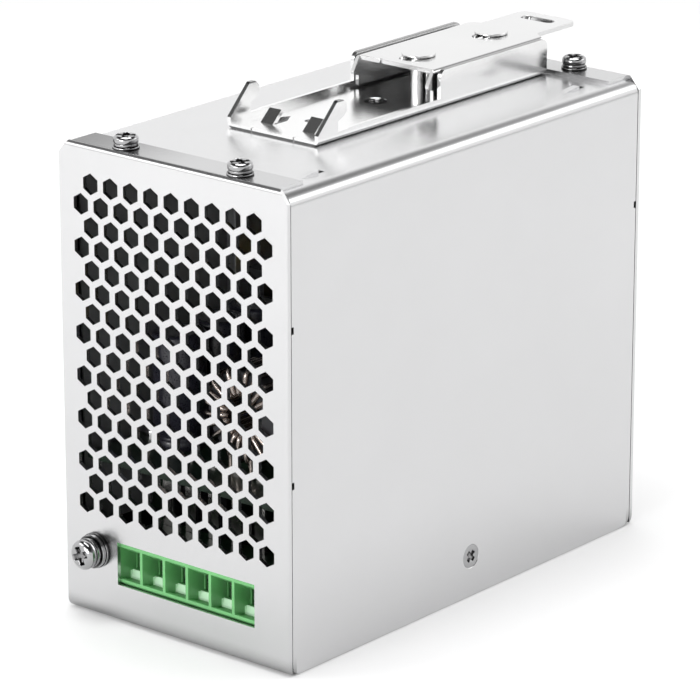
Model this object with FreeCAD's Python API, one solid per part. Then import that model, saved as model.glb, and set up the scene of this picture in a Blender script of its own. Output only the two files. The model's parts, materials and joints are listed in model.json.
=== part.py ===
import FreeCAD, Part
import math
import os
from FreeCAD import Vector

# A slim metal-cased power supply that clips to a 35 mm rail, lying on its front panel.
# Millimetres. +Z runs from the front panel to the rail side, +Y from the terminal end
# to the end with the latch's tail, +X across. The origin is the middle of the front
# panel's outer face.

# ---- driving dimensions --------------------------------------------------------------
WIDTH = 66.0            # case, along X
LENGTH = 125.2          # case, along Y
DEPTH = 110.0           # front panel to the top of the rear flanges, along Z
SHEET = 1.0             # case sheet
SEAM = 0.2              # gap between the chassis ends and the cover's edges
BEND = 2.4              # outer radius of the bends beside the front panel
EDGE_GAP = 0.1          # between the front panel's edges and the cover's sides
FIT = 0.05              # radial room round a screw in its hole
CLINCH_NUT = 2.9        # radius of the nuts pressed into the sheet
CLINCH_NUT_T = 2.5

FLANGE_REACH = 8.6      # rear flange, from the end face inwards
FLANGE_HALF = 30.0      # rear flange, half its width
TAB_HALF = 9.0          # side tab that a side screw goes into, half its length
TAB_HEIGHT = 15.0

HEX_COLUMN = 2.96       # half the pitch between holes of a row
HEX_ROW = 4.96
HEX_ROWS = 16
HEX_FLAT = 4.3          # across the flats
HEX_TOP = 101.2         # height of the uppermost row

LANCE_X = 25.8          # pressed lances in the cover's rear wall
LANCE_Y = (-51.1, 41.2)
LANCE_HALF = 0.8

SIDE_SCREW_Y = 0.8      # countersunk screw in each side of the cover
SIDE_SCREW_Z = 9.8
FLANGE_SCREW_X = 16.5
FLANGE_SCREW_INSET = 3.9
WASHER_FLAT = 0.5       # thickness of the flat and split washers under a flange screw
WASHER_SPRING = 0.8
EARTH_X = -24.0         # earth screw on the terminal end
EARTH_Z = 16.0

WAYS = 6                # terminal block
WAY_PITCH = 6.82
BLOCK_X0 = -18.64       # left end of the block
BLOCK_WALL = 0.35       # beside the first and last ways
BLOCK_Y0 = -61.5
BLOCK_Y1 = -46.4
BLOCK_Z0 = 1.5
BLOCK_Z1 = 19.9
CELL_HALF = 3.03        # wire cell, half its width
LIP_Z = (9.55, 10.3)    # lip along the foot of the cells' mouths
LIP_DEEP = 0.9
WINDOW = (-17.6, 23.0, 9.2, 19.3)       # opening in the terminal end: x0, x1, z0, z1
ACCESS = (-17.8, 21.8, -57.9, -47.7)    # opening in the front panel: x0, x1, y0, y1
CAGE_HALF = 2.45
CAGE_Y = (-55.8, -49.8)
CAGE_Z = (8.0, 16.85)
CAGE_WALL = 0.8
CAGE_FLOOR = 1.2
CAGE_ROOM = 0.35        # between a cage and its chamber
CLAMP_TRAVEL = 3.6
CLAMP_HOLE = 1.3        # radius of the hole that a clamp screw passes through
SCREW_Y = -52.8         # line of the clamp screws
HEAD_Z = (2.0, 3.4)
BAR_Z = (10.1, 10.9)
BAR_Y = -47.9
BAR_START = -56.7       # tip of a bar's tongue
BAR_HALF = 1.5
BAR_T = 0.8
BAR_ROOM = 0.1          # round a bar in its slot

RAIL_SEAT = DEPTH + 1.3             # height of the edges that the rail's lips rest on
HOOK_THROAT = -22.5                 # y where the fixed hooks stop the rail
HOOK_NOSE = -19.5                   # y that the hooks' noses reach
LATCH_THROAT = 12.9                 # y where the latch stops it: a 35 mm rail plus play
CLIP_HALF = 13.2                    # bracket, half its outer width
CLIP_SHEET = 1.0
CLIP_FRONT = -29.3
CLIP_REAR = 52.6
WALL_FRONT = 13.3                   # where the bracket's tall walls begin
WALL_TOP = DEPTH + 7.8
FINGER_X = (-6.1, 6.1)              # spring fingers raised from the bracket's floor
FINGER_HALF = 1.75
PEEP_Y = -16.2                      # round hole in the bracket's floor
BRACKET_SCREW_Y = (6.3, 36.0)
PLATE_TOP = DEPTH + 7.6             # latch plate
LATCH_HALF = 11.4
LATCH_TRAVEL = 3.6
TAIL_HALF = 8.1
TAIL_END = 71.0
TAIL_SLOT_Y = 66.2
PIN_Y = (21.7, 48.4)                # headed guide pins
PIN_R = 2.0
PIN_HEAD_R = 3.9
PIN_HEAD_T = 0.55
PIN_TAIL = 1.3                      # radius of a pin's riveted tail
SPRING_FRONT = 28.7                 # the latch spring's two seats
SPRING_REAR = 44.0
SPRING_Z = DEPTH + 3.3

BOARD_Z = 35.4          # underside of the main board
BOARD_T = 1.6
STANDOFFS = [(x, y) for x in (-26.8, 26.8) for y in (-40.0, 52.0)]
STANDOFF_STUB = 2.05
DECK = BOARD_Z + BOARD_T            # component side of the main board
CORE = (-12.0, 4.0, -10.0, 31.0, DECK + 3.0, DECK + 40.0)       # transformer
TOROID = (5.0, -41.0, DECK + 12.6)
PRIMARY_SINK_X = -26.4  # faces of the heat sinks that the power devices lie on
SECONDARY_SINK_X = 26.4
PRIMARY_DEVICES = (0.0, 21.0)
SECONDARY_DEVICES = (-22.0, 0.0)
DEVICE_Z = DECK + 12.0
DEVICE_T = 4.8
CONTROL_X = -6.0        # component face of the control board
TRIMMER_X = -0.9
TRIMMER_Y = -12.7
LED_Y = -26.0

# ---- worked out from them ------------------------------------------------------------
HALF_W = WIDTH / 2
HALF_L = LENGTH / 2
PANEL_HALF = HALF_W - SHEET - EDGE_GAP      # front panel, half its width
END_FACE = HALF_L - SHEET                   # inner face of each end panel
COVER_Z = DEPTH - SHEET                     # outer face of the cover's rear wall
COVER_END = END_FACE - SEAM
CLIP_FLOOR = COVER_Z + CLIP_SHEET
LATCH_UNDER = PLATE_TOP - CLIP_SHEET
BLOCK_X1 = BLOCK_X0 + 2 * BLOCK_WALL + WAYS * WAY_PITCH
FLANGE_SCREW_Y = HALF_L - FLANGE_SCREW_INSET
FLANGE_SCREWS = [(x, y) for y in (-FLANGE_SCREW_Y, FLANGE_SCREW_Y)
                 for x in (-FLANGE_SCREW_X, FLANGE_SCREW_X)]

X_AXIS = Vector(1, 0, 0)
Y_AXIS = Vector(0, 1, 0)
Z_AXIS = Vector(0, 0, 1)


# ---- helpers -------------------------------------------------------------------------
def box(x0, x1, y0, y1, z0, z1):
    return Part.makeBox(x1 - x0, y1 - y0, z1 - z0, Vector(x0, y0, z0))


def rod(x, y, z, axis, length, radius):
    return Part.makeCylinder(radius, length, Vector(x, y, z), axis)


def cone(x, y, z, axis, length, radius_start, radius_end):
    return Part.makeCone(radius_start, radius_end, length, Vector(x, y, z), axis)


def prism(points, push):
    """A polygon's points in space, extruded by a vector."""
    corners = [Vector(*point) for point in points]
    wire = Part.makePolygon(corners + corners[:1])
    return Part.Face(wire).extrude(push)


def side_profile(outline, x0, x1):
    """An outline of (y, z) points, extruded across from x0 to x1."""
    return prism([(x0, y, z) for y, z in outline], Vector(x1 - x0, 0, 0))


def fuse(shapes):
    return shapes[0].multiFuse(shapes[1:]).removeSplitter()


def cut(shape, tools):
    return shape.cut(Part.makeCompound(tools))


def group(shapes):
    return Part.makeCompound(shapes)


def edges_along(shape, axis, keep):
    """Straight edges parallel to an axis whose middle point passes the test."""
    found = []
    for edge in shape.Edges:
        if edge.Curve.TypeId != "Part::GeomLine":
            continue
        direction = edge.tangentAt(edge.FirstParameter)
        if abs(abs(direction.dot(axis)) - 1) < 1e-6 and keep(edge.CenterOfMass):
            found.append(edge)
    return found


def round_edges(shape, axis, radius, keep=lambda middle: True):
    return shape.makeFillet(radius, edges_along(shape, axis, keep))


def round_rims(shape, radius, keep):
    """Fillet the circular edges whose centre passes the test."""
    rims = [edge for edge in shape.Edges
            if edge.Curve.TypeId == "Part::GeomCircle" and keep(edge.Curve.Center)]
    return shape.makeFillet(radius, rims)


def turned(shape, axis, degrees, centre=Vector(0, 0, 0)):
    copy = shape.copy()
    copy.rotate(centre, axis, degrees)
    return copy


def moved(shape, x, y, z):
    copy = shape.copy()
    copy.translate(Vector(x, y, z))
    return copy


def cross_recess(size, depth):
    """A Phillips recess cut down from z = 0."""
    arm = size * 0.28
    bars = [box(-size / 2, size / 2, -arm / 2, arm / 2, -depth, 1),
            box(-arm / 2, arm / 2, -size / 2, size / 2, -depth, 1)]
    return fuse(bars)


def ring(outer, inner, thick):
    return rod(0, 0, 0, Z_AXIS, thick, outer).cut(rod(0, 0, -1, Z_AXIS, thick + 2, inner))


def spring_washer(outer, inner, thick):
    """A split lock washer: a ring with a slanting gap."""
    gap = box(inner * 0.6, outer + 1, -0.3, 0.3, -2, thick + 2)
    return ring(outer, inner, thick).cut(turned(gap, X_AXIS, 24))


def pan_screw(head_r, head_h, shank_r, shank_l):
    """A pan-head Phillips screw, pointing down, with the head's underside at z = 0."""
    head = rod(0, 0, 0, Z_AXIS, head_h, head_r)
    head = round_rims(head, head_h * 0.6, lambda c: c.z > head_h / 2)
    shank = rod(0, 0, -shank_l, Z_AXIS, shank_l, shank_r)
    recess = moved(cross_recess(head_r * 1.25, head_h * 0.6), 0, 0, head_h)
    return head.fuse(shank).cut(recess)


# ---- case ----------------------------------------------------------------------------
def hex_holes(y_face):
    """The vent pattern: rows of hexagons, pointed ends up, every other row shifted."""
    corner = HEX_FLAT / math.sqrt(3)
    holes = []
    for row in range(HEX_ROWS):
        z = HEX_TOP - row * HEX_ROW
        count = 10 if row % 2 else 9
        for number in range(count):
            x = (2 * number - (count - 1)) * HEX_COLUMN
            points = []
            for step in range(6):
                angle = math.radians(30 + 60 * step)
                points.append((x + corner * math.cos(angle), y_face - 2,
                               z + corner * math.sin(angle)))
            holes.append(prism(points, Vector(0, 4, 0)))
    return holes


def make_chassis():
    """Terminal end, front panel and far end in one folded sheet, with rear flanges."""
    outer = box(-HALF_W, HALF_W, -HALF_L, HALF_L, 0, DEPTH)
    outer = round_edges(outer, X_AXIS, BEND, lambda c: c.z < 1)
    outer = round_edges(outer, X_AXIS, 1.2, lambda c: c.z > 1 and abs(c.y) > END_FACE)
    inner = box(-HALF_W - 1, HALF_W + 1, -END_FACE, END_FACE, SHEET, DEPTH - SHEET)
    inner = round_edges(inner, X_AXIS, BEND - SHEET, lambda c: c.z < 2)
    inner = round_edges(inner, X_AXIS, 0.2, lambda c: c.z > 2)
    folded = outer.cut(inner)
    flange_end = HALF_L - FLANGE_REACH
    below_flanges = DEPTH - 3
    tools = [box(-HALF_W - 1, HALF_W + 1, -flange_end, flange_end, below_flanges, DEPTH + 1)]
    for side in (-1, 1):
        strip = sorted((side * PANEL_HALF, side * (HALF_W + 1)))
        tools.append(box(strip[0], strip[1], -END_FACE, END_FACE, -1, 5))
        beyond = sorted((side * FLANGE_HALF, side * (HALF_W + 1)))
        tools.append(box(beyond[0], beyond[1], -END_FACE, END_FACE, below_flanges, DEPTH + 1))
        # the end panels' upper corners are cut off at a slant
        edge = side * (HALF_W + 0.01)
        slant = [(edge, -HALF_L - 1, below_flanges), (edge, -HALF_L - 1, DEPTH + 0.1),
                 (side * (HALF_W - 2.5), -HALF_L - 1, DEPTH + 0.1)]
        tools.append(prism(slant, Vector(0, LENGTH + 2, 0)))
    x0, x1, z0, z1 = WINDOW
    tools.append(box(x0, x1, -HALF_L - 1, -END_FACE + 1, z0, z1))
    x0, x1, y0, y1 = ACCESS
    tools.append(box(x0, x1, y0, y1, -1, SHEET + 1))
    tools.append(rod(EARTH_X, -HALF_L - 1, EARTH_Z, Y_AXIS, 3, 2.0 + FIT))
    tools.append(rod(TRIMMER_X, TRIMMER_Y, -1, Z_AXIS, 3, 2.4))
    tools.append(rod(TRIMMER_X, LED_Y, -1, Z_AXIS, 3, 1.65))
    for x, y in FLANGE_SCREWS:
        tools.append(rod(x, y, below_flanges, Z_AXIS, 5, 1.5 + FIT))
    for x, y in STANDOFFS:
        tools.append(rod(x, y, -1, Z_AXIS, 3, STANDOFF_STUB + FIT))
    folded = cut(folded, tools)
    tabs = []
    for side in (-1, 1):
        span = sorted((side * PANEL_HALF, side * (PANEL_HALF - SHEET)))
        tab = box(span[0], span[1], SIDE_SCREW_Y - TAB_HALF, SIDE_SCREW_Y + TAB_HALF,
                  0.2, TAB_HEIGHT)
        tab = round_edges(tab, X_AXIS, 2.0, lambda c: c.z > TAB_HEIGHT - 1)
        hole = rod(side * (PANEL_HALF - 3), SIDE_SCREW_Y, SIDE_SCREW_Z, X_AXIS * side, 6, 1.5 + FIT)
        tabs.append(cut(tab, [hole, side_screw_seat(side)]))
    body = fuse([folded] + tabs)
    return cut(body, hex_holes(-HALF_L) + hex_holes(HALF_L))


def side_screw_seat(side):
    """The countersunk seat for the screw in one side of the cover."""
    return cone(side * (HALF_W + 0.01), SIDE_SCREW_Y, SIDE_SCREW_Z, X_AXIS * -side,
                1.35, 2.9, 1.5 + FIT)


def make_cover():
    """Both sides and the rear wall in one folded sheet."""
    outer = box(-HALF_W, HALF_W, -COVER_END, COVER_END, 0.1, COVER_Z)
    outer = round_edges(outer, Y_AXIS, 3.0, lambda c: c.z > 50)
    inner = box(-HALF_W + SHEET, HALF_W - SHEET, -COVER_END - 1, COVER_END + 1, -1, COVER_Z - SHEET)
    inner = round_edges(inner, Y_AXIS, 2.0, lambda c: c.z > 50)
    shell = outer.cut(inner)
    shell = round_edges(shell, X_AXIS, BEND, lambda c: c.z < 1 and abs(c.y) > 60)
    tools = []
    for x, y in FLANGE_SCREWS:
        tools.append(rod(x, y, COVER_Z - 3, Z_AXIS, 5, 1.5 + FIT))
    for y in BRACKET_SCREW_Y:
        tools.append(rod(0, y, COVER_Z - 3, Z_AXIS, 5, 1.5 + FIT))
    for side in (-1, 1):
        tools.append(side_screw_seat(side))
        # small square notches in the edges beside the end panels
        for y, z in ((-COVER_END, 79.0), (-COVER_END, 44.0), (COVER_END, 79.5)):
            tools.append(box(side * HALF_W - 2, side * HALF_W + 2, y - 0.7, y + 0.7, z - 0.8, z + 0.8))
    x0, x1 = LANCE_X - LANCE_HALF, LANCE_X + LANCE_HALF
    for y in LANCE_Y:
        # each pressed lance rises towards +Y, and its hole runs on past its open end
        tools.append(box(x0, x1, y + 4.9, y + 8.2, COVER_Z - 3, COVER_Z + 1))
    shell = cut(shell, tools)
    lances = []
    for y in LANCE_Y:
        ramp = [(y, COVER_Z - 0.3), (y + 0.3, COVER_Z), (y + 4.6, COVER_Z + 0.6),
                (y + 6.2, COVER_Z + 0.6), (y + 6.2, COVER_Z), (y + 4.9, COVER_Z - 0.3)]
        lances.append(side_profile(ramp, x0, x1))
    return fuse([shell] + lances)


def make_flange_screws():
    screw = pan_screw(2.8, 2.0, 1.5, 6.0)
    base = DEPTH + WASHER_FLAT + WASHER_SPRING
    return group([moved(turned(screw, Z_AXIS, 35 + 20 * number), x, y, base)
                  for number, (x, y) in enumerate(FLANGE_SCREWS)])


def make_flange_spring_washers():
    washer = spring_washer(2.65, 1.5 + FIT, WASHER_SPRING)
    return group([moved(turned(washer, Z_AXIS, 70 * number), x, y, DEPTH + WASHER_FLAT)
                  for number, (x, y) in enumerate(FLANGE_SCREWS)])


def make_flange_washers():
    washer = ring(3.0, 1.5 + FIT, WASHER_FLAT)
    return group([moved(washer, x, y, DEPTH) for x, y in FLANGE_SCREWS])


def make_clinch_nuts():
    """M3 nuts pressed into the sheet: under the cover's rear wall and inside the side tabs."""
    nut = ring(CLINCH_NUT, 1.5 + FIT, CLINCH_NUT_T)
    places = FLANGE_SCREWS + [(0, y) for y in BRACKET_SCREW_Y]
    nuts = [moved(nut, x, y, COVER_Z - SHEET - CLINCH_NUT_T) for x, y in places]
    for side in (-1, 1):
        sideways = turned(nut, Y_AXIS, -90 * side)
        nuts.append(moved(sideways, side * (PANEL_HALF - SHEET), SIDE_SCREW_Y, SIDE_SCREW_Z))
    return group(nuts)


def make_side_screws():
    screws = []
    for side in (-1, 1):
        head = cone(side * HALF_W, SIDE_SCREW_Y, SIDE_SCREW_Z, X_AXIS * -side, 1.3, 2.8, 1.5)
        shank = rod(side * HALF_W, SIDE_SCREW_Y, SIDE_SCREW_Z, X_AXIS * -side, 6, 1.5)
        recess = turned(cross_recess(3.0, 1.0), Y_AXIS, 90 * side)
        recess = moved(recess, side * HALF_W, SIDE_SCREW_Y, SIDE_SCREW_Z)
        screws.append(head.fuse(shank).cut(recess))
    return group(screws)


# ---- earth screw ---------------------------------------------------------------------
def on_terminal_end(shape, out):
    """Turn a screw-like shape so that its +Z looks out of the terminal end (-Y)."""
    return moved(turned(shape, X_AXIS, 90), EARTH_X, -HALF_L - out, EARTH_Z)


def make_earth_screw():
    screw = turned(pan_screw(3.4, 2.6, 2.0, 9.0), Z_AXIS, 22)
    return on_terminal_end(screw, 3.2)


def make_earth_spring_washer():
    return on_terminal_end(turned(spring_washer(3.4, 2.0 + FIT, 1.3), Z_AXIS, -60), 1.9)


def make_earth_cup_washer():
    """The square-edged clamping washer that holds the earth lead."""
    return on_terminal_end(round_rims(ring(3.9, 2.0 + FIT, 1.0), 0.25, lambda c: c.z > 0.5), 0.9)


def make_earth_washer():
    return on_terminal_end(ring(4.1, 2.0 + FIT, 0.7), 0.1)


def make_earth_nut():
    nut = ring(3.6, 2.0 + FIT, 3.2)
    return moved(turned(nut, X_AXIS, -90), EARTH_X, -HALF_L + SHEET, EARTH_Z)


# ---- rail clip -----------------------------------------------------------------------
def make_clip_bracket():
    """Channel that carries the fixed hooks, the rail seat and the latch."""
    outer = box(-CLIP_HALF, CLIP_HALF, CLIP_FRONT, CLIP_REAR, COVER_Z, WALL_TOP + 2)
    outer = round_edges(outer, Y_AXIS, 1.5, lambda c: c.z < COVER_Z + 1)
    inside = CLIP_HALF - CLIP_SHEET
    inner = box(-inside, inside, CLIP_FRONT - 1, CLIP_REAR + 1, CLIP_FLOOR, WALL_TOP + 3)
    channel = outer.cut(inner)
    # from the foot of the hooks' sloping fronts, round the noses, along the seat and the walls
    top = DEPTH
    relief = RAIL_SEAT - 0.15
    relief_end = HOOK_NOSE + 0.3
    outline = [(CLIP_FRONT, COVER_Z), (CLIP_FRONT, top + 1.4), (-22.6, top + 8.1),
               (-20.8, top + 8.1), (HOOK_NOSE, top + 6.9), (HOOK_NOSE, top + 5.3),
               (-20.6, top + 4.3), (HOOK_THROAT, top + 3.5), (HOOK_THROAT, relief),
               (relief_end, relief), (relief_end, RAIL_SEAT), (WALL_FRONT, RAIL_SEAT),
               (WALL_FRONT, WALL_TOP), (CLIP_REAR, WALL_TOP), (CLIP_REAR, COVER_Z)]
    shape = side_profile(outline, -CLIP_HALF - 1, CLIP_HALF + 1)
    shape = round_edges(shape, X_AXIS, 2.0,
                        lambda c: c.y > WALL_FRONT - 0.1 and c.z > WALL_TOP - 0.1)
    shape = round_edges(shape, X_AXIS, 0.8, lambda c: c.y < -19 and c.z > DEPTH + 5)
    tools = []
    fingers = []
    for x in FINGER_X:
        tools.append(finger_hole(x))
        fingers.append(spring_finger(x))
        tools.append(box(x - 0.2, x + 0.2, CLIP_FRONT - 1, CLIP_FRONT + 0.6,
                         COVER_Z - 1, CLIP_FLOOR + 1))
    tools.append(rod(0, PEEP_Y, COVER_Z - 1, Z_AXIS, 3, 1.4))
    for y in BRACKET_SCREW_Y:
        tools.append(rod(0, y, COVER_Z - 1, Z_AXIS, 3, 1.5 + FIT))
        tools.append(cone(0, y, CLIP_FLOOR + 0.01, Z_AXIS * -1, CLIP_SHEET, 2.75, 1.5 + FIT))
    for y in PIN_Y:
        tools.append(rod(0, y, COVER_Z - 1, Z_AXIS, 3, PIN_TAIL))
    tab = box(-3.0, 3.0, SPRING_REAR, SPRING_REAR + CLIP_SHEET, CLIP_FLOOR - 0.5, DEPTH + 5.6)
    formed = cut(channel.common(shape), tools)
    return fuse([formed, tab] + fingers)


def finger_hole(x):
    """The pointed hole that a spring finger was cut from."""
    half = FINGER_HALF + 0.35
    outline = [(-23.6, half), (-19.6, half), (-16.0, 0), (-19.6, -half), (-23.6, -half)]
    return prism([(x + across, y, COVER_Z - 1) for y, across in outline], Vector(0, 0, 3))


def spring_finger(x):
    """A finger bent up from the floor and leaning back over its hole."""
    outline = [(-24.2, CLIP_FLOOR), (-21.1, DEPTH + 2.8), (-20.5, DEPTH + 2.15),
               (-23.4, COVER_Z + 0.3), (-24.2, COVER_Z + 0.1)]
    return side_profile(outline, x - FINGER_HALF, x + FINGER_HALF)


def make_guide_pins():
    head_z = PLATE_TOP + 0.1
    pins = []
    for y in PIN_Y:
        head = rod(0, y, head_z, Z_AXIS, PIN_HEAD_T, PIN_HEAD_R)
        shank = rod(0, y, CLIP_FLOOR, Z_AXIS, head_z - CLIP_FLOOR, PIN_R)
        tail = rod(0, y, COVER_Z, Z_AXIS, CLIP_SHEET, PIN_TAIL)
        pins.append(fuse([head, shank, tail]))
    return group(pins)


def make_bracket_screws():
    """Countersunk screws, flush with the bracket's floor."""
    head = cone(0, 0, 0, Z_AXIS * -1, CLIP_SHEET - 0.05, 2.65, 1.5)
    shank = rod(0, 0, -5.0, Z_AXIS, 5.0, 1.5)
    screw = turned(head.fuse(shank).cut(cross_recess(3.0, 0.8)), Z_AXIS, 25)
    return group([moved(screw, 0, y, CLIP_FLOOR) for y in BRACKET_SCREW_Y])


def obround(x, y0, y1, radius, z0, z1):
    """A slot's cutting body, its round ends centred on y0 and y1."""
    ends = [rod(x, y, z0, Z_AXIS, z1 - z0, radius) for y in (y0, y1)]
    return fuse([box(x - radius, x + radius, y0, y1, z0, z1)] + ends)


def make_rail_latch():
    """Sliding plate with two cam-nosed cheeks at its front and a pull tail at its rear."""
    outline = [(-LATCH_HALF, WALL_FRONT), (-4.6, WALL_FRONT), (-4.6, WALL_FRONT + 0.4),
               (-3.8, WALL_FRONT + 0.4), (-3.8, WALL_FRONT), (LATCH_HALF, WALL_FRONT),
               (LATCH_HALF, 53.0), (TAIL_HALF, 55.4), (TAIL_HALF, TAIL_END),
               (-TAIL_HALF, TAIL_END), (-TAIL_HALF, 55.4), (-LATCH_HALF, 53.0)]
    plate = prism([(x, y, LATCH_UNDER) for x, y in outline], Vector(0, 0, CLIP_SHEET))
    plate = round_edges(plate, Z_AXIS, 2.5, lambda c: c.y > TAIL_END - 1)
    foot = CLIP_FLOOR + 0.6
    nose = [(WALL_FRONT, PLATE_TOP), (11.1, DEPTH + 4.1), (11.2, DEPTH + 3.5),
            (LATCH_THROAT, DEPTH + 2.9), (LATCH_THROAT, foot), (49.5, foot), (51.0, foot + 1.5),
            (51.0, PLATE_TOP)]
    cheeks = []
    for side in (-1, 1):
        span = sorted((side * LATCH_HALF, side * (LATCH_HALF - CLIP_SHEET)))
        cheeks.append(side_profile(nose, span[0], span[1]))
    seat = SPRING_FRONT - 0.1
    tab = box(-3.2, 3.2, seat - CLIP_SHEET, seat, CLIP_FLOOR + 1.3, LATCH_UNDER + 0.2)
    body = fuse([plate, tab] + cheeks)
    body = round_edges(body, Y_AXIS, 0.9,
                       lambda c: abs(abs(c.x) - LATCH_HALF) < 0.01 and c.z > PLATE_TOP - 0.01)
    low, high = LATCH_UNDER - 1, PLATE_TOP + 1
    tools = [obround(0, y - LATCH_TRAVEL - 0.15, y + 0.15, PIN_R + 0.1, low, high) for y in PIN_Y]
    slot = obround(0, -3.2, 3.2, 1.45, low, high)
    tools.append(moved(turned(slot, Z_AXIS, 90), 0, TAIL_SLOT_Y, 0))
    return cut(body, tools)


def coil(radius, wire, pitch, length):
    """A helical wire along +Z, starting at z = 0."""
    helix = Part.makeHelix(pitch, length, radius)
    section = Part.Wire([Part.makeCircle(wire, Vector(radius, 0, 0), Y_AXIS)])
    return Part.Wire(helix).makePipeShell([section], True, True)


def make_latch_spring():
    wire = 0.35
    length = SPRING_REAR - SPRING_FRONT - 2 * wire - 0.1
    spring = coil(1.85, wire, length / 7, length)
    spring = turned(spring, X_AXIS, -90)
    return moved(spring, 0, SPRING_FRONT + wire + 0.05, SPRING_Z)


# ---- terminal block ------------------------------------------------------------------
def way_x(number):
    return BLOCK_X0 + BLOCK_WALL + WAY_PITCH * (number + 0.5)


def make_terminal_housing():
    """Moulded block: wire cells with sloping ceilings, clamp chambers and screw wells."""
    body = box(BLOCK_X0, BLOCK_X1, BLOCK_Y0, BLOCK_Y1, BLOCK_Z0, BLOCK_Z1)
    # below the lip the front stands back from the end panel
    tools = [box(BLOCK_X0 - 1, BLOCK_X1 + 1, BLOCK_Y0 - 1, BLOCK_Y0 + LIP_DEEP - 0.1,
                 BLOCK_Z0 - 1, LIP_Z[0])]
    chamber_y = (CAGE_Y[0] - CAGE_ROOM, CAGE_Y[1] + CAGE_ROOM)
    # the mouth: a lip, a sunken floor, a ramp up to the clamp and a ceiling that slopes down
    mouth = [(BLOCK_Y0 - 1, LIP_Z[1]), (BLOCK_Y0 + LIP_DEEP, LIP_Z[1]),
             (BLOCK_Y0 + LIP_DEEP, LIP_Z[0] - 0.1), (-58.0, LIP_Z[0] - 0.1), (-57.15, 11.2),
             (chamber_y[0] + 0.1, 11.2), (chamber_y[0] + 0.1, 15.85), (-58.1, 15.85),
             (BLOCK_Y0, 17.95), (BLOCK_Y0 - 1, 17.95)]
    bar_half = BAR_HALF + BAR_ROOM
    bar_low, bar_high = BAR_Z[0] - BAR_ROOM, BAR_Z[1] + BAR_ROOM
    for number in range(WAYS):
        x = way_x(number)
        across = CAGE_HALF + CAGE_ROOM
        tools.append(side_profile(mouth, x - CELL_HALF, x + CELL_HALF))
        tools.append(box(x - across, x + across, chamber_y[0], chamber_y[1],
                         CAGE_Z[0] - CLAMP_TRAVEL - 0.2, CAGE_Z[1] + CAGE_ROOM))
        tools.append(box(x - bar_half, x + bar_half, BAR_START - BAR_ROOM, chamber_y[0] + 0.1,
                         bar_low, 12.0))
        tools.append(box(x - bar_half, x + bar_half, CAGE_Y[1], BAR_Y + BAR_ROOM, bar_low, bar_high))
        tools.append(box(x - bar_half, x + bar_half, BAR_Y - BAR_T - BAR_ROOM, BAR_Y + BAR_ROOM,
                         bar_low, BLOCK_Z1 + 1))
        tools.append(rod(x, SCREW_Y, BLOCK_Z0 - 1, Z_AXIS, HEAD_Z[1] + 1.1 - BLOCK_Z0, 2.4))
        tools.append(rod(x, SCREW_Y, BLOCK_Z0, Z_AXIS, 6, CLAMP_HOLE))
    return cut(body, tools)


def make_terminal_screw(number):
    """A slotted clamp screw that stops just below the current bar."""
    x = way_x(number)
    head = rod(x, SCREW_Y, HEAD_Z[0], Z_AXIS, HEAD_Z[1] - HEAD_Z[0], 2.05)
    shank = rod(x, SCREW_Y, HEAD_Z[1], Z_AXIS, BAR_Z[0] - 0.2 - HEAD_Z[1], CLAMP_HOLE - FIT)
    slot = box(-2.5, 2.5, -0.35, 0.35, HEAD_Z[0] - 1, HEAD_Z[0] + 0.8)
    slot = moved(turned(slot, Z_AXIS, 20 + 37 * number), x, SCREW_Y, 0)
    return head.fuse(shank).cut(slot)


def make_terminal_clamp(number):
    """Cage that the screw draws down, so that its upper wall presses the wire on the bar."""
    x = way_x(number)
    cage = box(x - CAGE_HALF, x + CAGE_HALF, CAGE_Y[0], CAGE_Y[1], CAGE_Z[0], CAGE_Z[1])
    cage = round_edges(cage, Y_AXIS, 0.6)
    inside = CAGE_HALF - CAGE_WALL
    hollow = box(x - inside, x + inside, CAGE_Y[0] - 1, CAGE_Y[1] + 1,
                 CAGE_Z[0] + CAGE_FLOOR, CAGE_Z[1] - CAGE_WALL)
    return cut(cage, [hollow, rod(x, SCREW_Y, CAGE_Z[0] - 1, Z_AXIS, 4, CLAMP_HOLE)])


def make_terminal_bars():
    """Current bars: a tongue through each cage and a leg up into the main board."""
    bars = []
    for number in range(WAYS):
        x = way_x(number)
        tongue = box(x - BAR_HALF, x + BAR_HALF, BAR_START, BAR_Y, BAR_Z[0], BAR_Z[1])
        leg = box(x - BAR_HALF, x + BAR_HALF, BAR_Y - BAR_T, BAR_Y, BAR_Z[0], BOARD_Z)
        pin = box(x - 0.8, x + 0.8, BAR_Y - BAR_T, BAR_Y, BOARD_Z, DECK + 0.8)
        bars.append(fuse([tongue, leg, pin]))
    return group(bars)


# ---- main board and what stands on it ------------------------------------------------
def make_main_board():
    board = box(-30.0, 30.0, -58.4, 58.4, BOARD_Z, DECK)
    tools = [rod(x, y, BOARD_Z - 1, Z_AXIS, 4, 1.5 + FIT) for x, y in STANDOFFS]
    for number in range(WAYS):
        x = way_x(number)
        tools.append(box(x - 0.9, x + 0.9, BAR_Y - BAR_T - BAR_ROOM, BAR_Y + BAR_ROOM,
                         BOARD_Z - 1, DECK + 1))
    return cut(board, tools)


def make_standoffs():
    """Hexagonal spacers pressed into the front panel, tapped at the board end."""
    posts = []
    for x, y in STANDOFFS:
        corners = [(x + 3.0 * math.cos(math.radians(60 * step)),
                    y + 3.0 * math.sin(math.radians(60 * step)), SHEET) for step in range(6)]
        post = prism(corners, Vector(0, 0, BOARD_Z - SHEET))
        stub = rod(x, y, 0, Z_AXIS, SHEET, STANDOFF_STUB)
        hole = rod(x, y, BOARD_Z - 7, Z_AXIS, 8, 1.5 + FIT)
        posts.append(post.fuse(stub).cut(hole))
    return group(posts)


def make_board_screws():
    screw = pan_screw(2.7, 2.0, 1.5, 7.0)
    return group([moved(turned(screw, Z_AXIS, 15 * number), x, y, DECK)
                  for number, (x, y) in enumerate(STANDOFFS)])


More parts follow.
